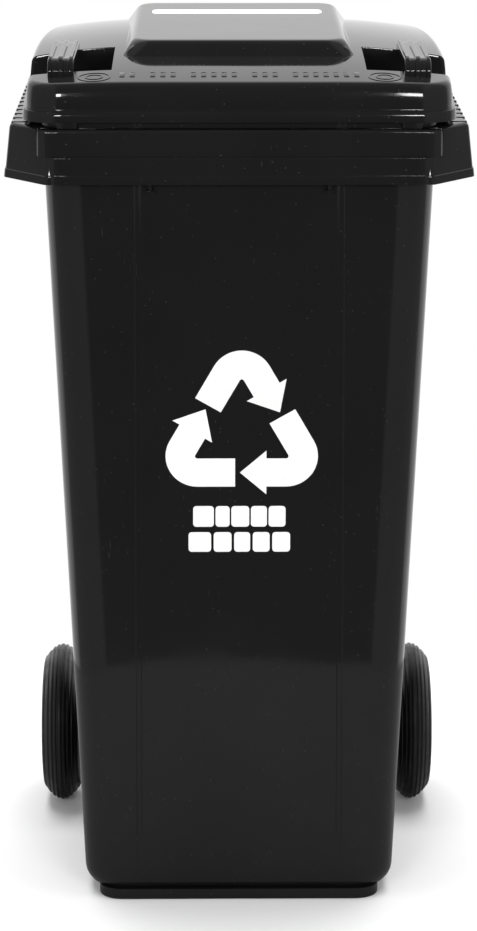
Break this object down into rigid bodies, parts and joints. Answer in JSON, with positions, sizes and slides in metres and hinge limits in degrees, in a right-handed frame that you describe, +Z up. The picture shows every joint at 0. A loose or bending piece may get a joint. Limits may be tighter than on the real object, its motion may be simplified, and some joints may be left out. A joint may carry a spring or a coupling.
{
  "type": "wheelie bin",
  "caption": "Upright two-wheeled refuse bin with a tapered container, wide lifting rim, rear handle bar and hinged lid with a raised centre and corner grips.",
  "frame": {"origin": "centre of the overall footprint, on the floor", "axes": "+Z up, -Y towards the front of the bin, +X to the right seen from the front; X is across the symmetric width"},
  "size_m": [0.485, 0.5503, 0.9666],
  "materials": {
    "container_hdpe": "black injection-moulded HDPE, glossy",
    "lid_hdpe": "black injection-moulded HDPE, glossy",
    "pin_plastic": "black moulded nylon, satin",
    "wheel_plastic": "black moulded polypropylene, satin",
    "tyre_rubber": "black moulded rubber",
    "axle_steel": "zinc-plated drawn bar",
    "latch_steel": "bright zinc-plated steel"
  },
  "bodies": {
    "container": {"bin_body": "container_hdpe", "hinge_pin_left": "pin_plastic", "hinge_pin_right": "pin_plastic"},
    "lid": {"lid": "lid_hdpe"},
    "axle": {"axle": "axle_steel"},
    "wheel_left": {"wheel_rim_left": "wheel_plastic", "tyre_left": "tyre_rubber", "latch_spring_left": "latch_steel", "latch_cap_left": "pin_plastic"},
    "latch_left": {"latch_pin_left": "latch_steel"},
    "wheel_right": {"wheel_rim_right": "wheel_plastic", "tyre_right": "tyre_rubber", "latch_spring_right": "latch_steel", "latch_cap_right": "pin_plastic"},
    "latch_right": {"latch_pin_right": "latch_steel"}
  },
  "joints": [
    {"name": "lid_hinge", "type": "hinge", "parent": "container", "child": "lid", "pos_m": [0, 0.258, 0.91179], "axis": [-1, 0, 0], "range_deg": [0, 270]},
    {"name": "axle_spin", "type": "hinge", "parent": "container", "child": "axle", "pos_m": [0, 0.172, 0.095], "axis": [1, 0, 0], "continuous": true},
    {"name": "wheel_left_spin", "type": "hinge", "parent": "axle", "child": "wheel_left", "pos_m": [-0.2155, 0.172, 0.095], "axis": [1, 0, 0], "continuous": true},
    {"name": "latch_left_slide", "type": "slide", "parent": "wheel_left", "child": "latch_left", "axis": [0, 0, 1], "range_m": [0, 0.0025], "stiffness_N_per_m": 600, "springref_m": -0.003, "deforming": ["latch_spring_left"]},
    {"name": "wheel_right_spin", "type": "hinge", "parent": "axle", "child": "wheel_right", "pos_m": [0.2155, 0.172, 0.095], "axis": [1, 0, 0], "continuous": true},
    {"name": "latch_right_slide", "type": "slide", "parent": "wheel_right", "child": "latch_right", "axis": [0, 0, 1], "range_m": [0, 0.0025], "stiffness_N_per_m": 600, "springref_m": -0.003, "deforming": ["latch_spring_right"]}
  ]
}
